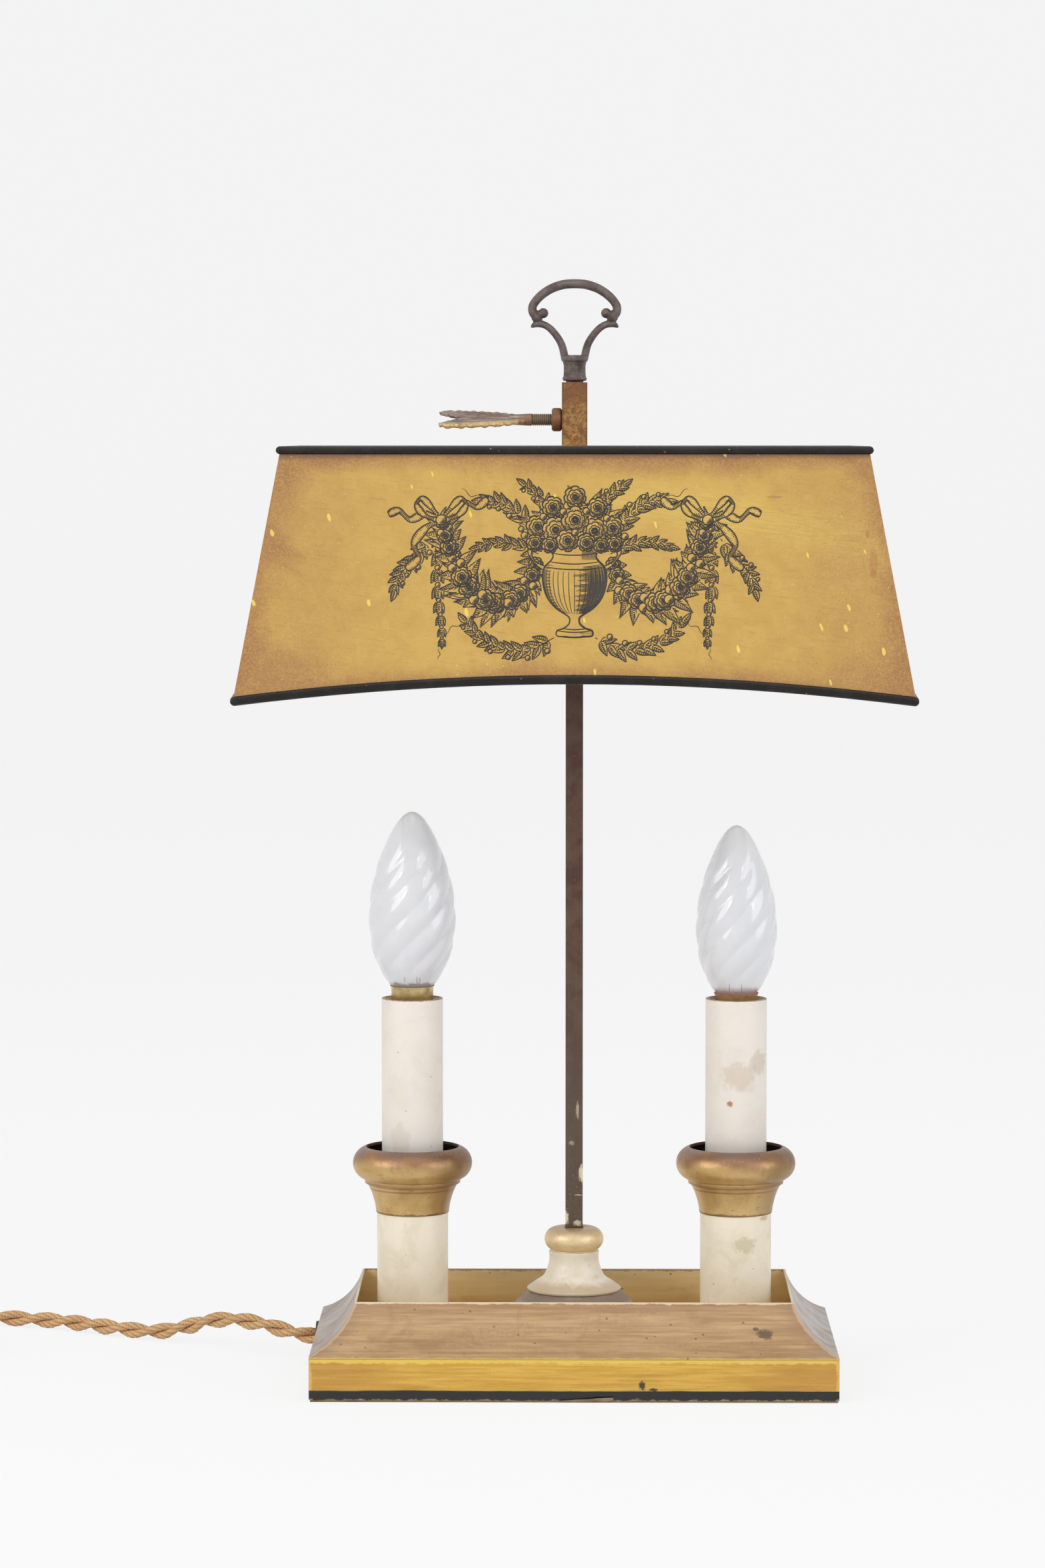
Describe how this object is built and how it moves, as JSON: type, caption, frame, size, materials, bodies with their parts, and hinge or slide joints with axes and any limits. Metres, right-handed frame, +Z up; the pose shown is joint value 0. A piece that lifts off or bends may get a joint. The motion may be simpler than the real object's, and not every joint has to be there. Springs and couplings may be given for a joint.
{
  "type": "bouillotte lamp",
  "caption": "Rectangular tray lamp with electric candles, a square stem, and a painted metal shade that slides on it under a leaf clamp screw.",
  "frame": {"origin": "middle of the base, on the surface that the lamp stands on", "axes": "+Z up along the stem, +X to the lamp's right, the front faces -Y"},
  "size_m": [0.4903, 0.2055, 0.4443],
  "materials": {
    "painted_sheet": "mustard paint, scumbled and rubbed, worn at its edges",
    "black_bead": "black paint, half gloss",
    "tray_paint": "olive gold paint",
    "steel_plate": "plain steel sheet",
    "paper": "brown paper",
    "iron": "raw casting",
    "bushing_rubber": "dark brown rubber",
    "porcelain": "white glazed block",
    "dark_brass": "dark patina",
    "turned_gilt": "gilt on turned wood",
    "turned_cream": "cream paint on turned wood",
    "turned_grey": "grey gold paint on turned wood",
    "cream_tube": "cream paint",
    "cup_gilt": "bronze gold lacquer, darker on the rim",
    "sleeve_cream": "off-white candle sleeve with a worn lip",
    "brass_fittings": "plain brass",
    "bakelite": "dark brown",
    "ivory_plastic": "ivory",
    "bulb_glass": "frosted, twisted flutes",
    "bulb_cap": "spun brass",
    "bulb_wire": "lead wires and glass stem",
    "slider_gold": "mottled orange gold",
    "leaf_gilt": "cast leaf, gilt worn to brown",
    "handle_bronze": "dark brown casting",
    "braid": "golden tan braid"
  },
  "bodies": {
    "lamp": {"base_band": "painted_sheet", "cove_front": "painted_sheet", "cove_back": "painted_sheet", "cove_left": "painted_sheet", "cove_right": "painted_sheet", "tray_floor": "tray_paint", "bottom_plate": "steel_plate", "lining": "paper", "weight": "iron", "cord_bushing": "bushing_rubber", "terminal_block": "porcelain", "stem": "dark_brass", "under_floor_nuts": "brass_fittings", "stem_dome": "turned_grey", "stem_bell": "turned_cream", "stem_collar": "turned_gilt", "candle_tube_left": "cream_tube", "candle_tube_right": "cream_tube", "cup_left": "cup_gilt", "cup_right": "cup_gilt", "sleeve_left": "sleeve_cream", "sleeve_right": "sleeve_cream", "nipples": "brass_fittings", "cup_nuts": "brass_fittings", "holder_brackets": "steel_plate", "holder_body_left": "bakelite", "holder_body_right": "bakelite", "screw_shells": "brass_fittings", "centre_contacts": "brass_fittings", "ring_handle": "handle_bronze", "inner_leads": "braid", "cord_lead": "braid", "cord_middle": "braid", "cord_coil": "braid", "cord_tail": "braid", "cord_tie": "braid", "plug_body": "bakelite", "plug_pins": "brass_fittings", "switch_body": "bakelite"},
    "shade": {"shade_front": "painted_sheet", "shade_back": "painted_sheet", "shade_left": "painted_sheet", "shade_right": "painted_sheet", "top_bead": "black_bead", "bottom_bead": "black_bead", "cross_bars": "dark_brass", "slider": "slider_gold", "clamp_boss": "slider_gold"},
    "clamp_slug": {"clamp_pad": "brass_fittings"},
    "clamp_key": {"clamp_screw": "dark_brass", "leaf_key": "leaf_gilt"},
    "bulb_foot_left": {"bulb_contact_left": "porcelain"},
    "bulb_left": {"bulb_glass_left": "bulb_glass", "bulb_cap_left": "bulb_cap", "bulb_mount_left": "bulb_wire"},
    "bulb_foot_right": {"bulb_contact_right": "porcelain"},
    "bulb_right": {"bulb_glass_right": "bulb_glass", "bulb_cap_right": "bulb_cap", "bulb_mount_right": "bulb_wire"},
    "rocker": {"switch_rocker": "ivory_plastic"}
  },
  "joints": [
    {"name": "shade_slide", "type": "slide", "parent": "lamp", "child": "shade", "axis": [0, 0, 1], "range_m": [-0.131, 0]},
    {"name": "clamp_travel", "type": "slide", "parent": "shade", "child": "clamp_slug", "axis": [-1, 0, 0], "range_m": [0, 0.00161]},
    {"name": "clamp_turn", "type": "hinge", "parent": "clamp_slug", "child": "clamp_key", "pos_m": [-0.0171, 0, 0.388], "axis": [-1, 0, 0], "range_deg": [0, 720]},
    {"name": "bulb_left_rise", "type": "slide", "parent": "lamp", "child": "bulb_foot_left", "axis": [0, 0, 1], "range_m": [0, 0.0085]},
    {"name": "bulb_left_turn", "type": "hinge", "parent": "bulb_foot_left", "child": "bulb_left", "pos_m": [-0.0656, 0, 0.15], "axis": [0, 0, 1], "range_deg": [0, 1080]},
    {"name": "bulb_right_rise", "type": "slide", "parent": "lamp", "child": "bulb_foot_right", "axis": [0, 0, 1], "range_m": [0, 0.0085]},
    {"name": "bulb_right_turn", "type": "hinge", "parent": "bulb_foot_right", "child": "bulb_right", "pos_m": [0.0656, 0, 0.15], "axis": [0, 0, 1], "range_deg": [0, 1080]},
    {"name": "switch_rock", "type": "hinge", "parent": "lamp", "child": "rocker", "pos_m": [-0.292, 0.116, 0.008], "axis": [0, 1, 0], "range_deg": [0, 20]}
  ],
  "couplings": [
    {"joint": "clamp_travel", "follows": "clamp_turn", "m_per_rad": 0.00012732},
    {"joint": "bulb_left_rise", "follows": "bulb_left_turn", "m_per_rad": 0.00044882},
    {"joint": "bulb_right_rise", "follows": "bulb_right_turn", "m_per_rad": 0.00044882}
  ]
}
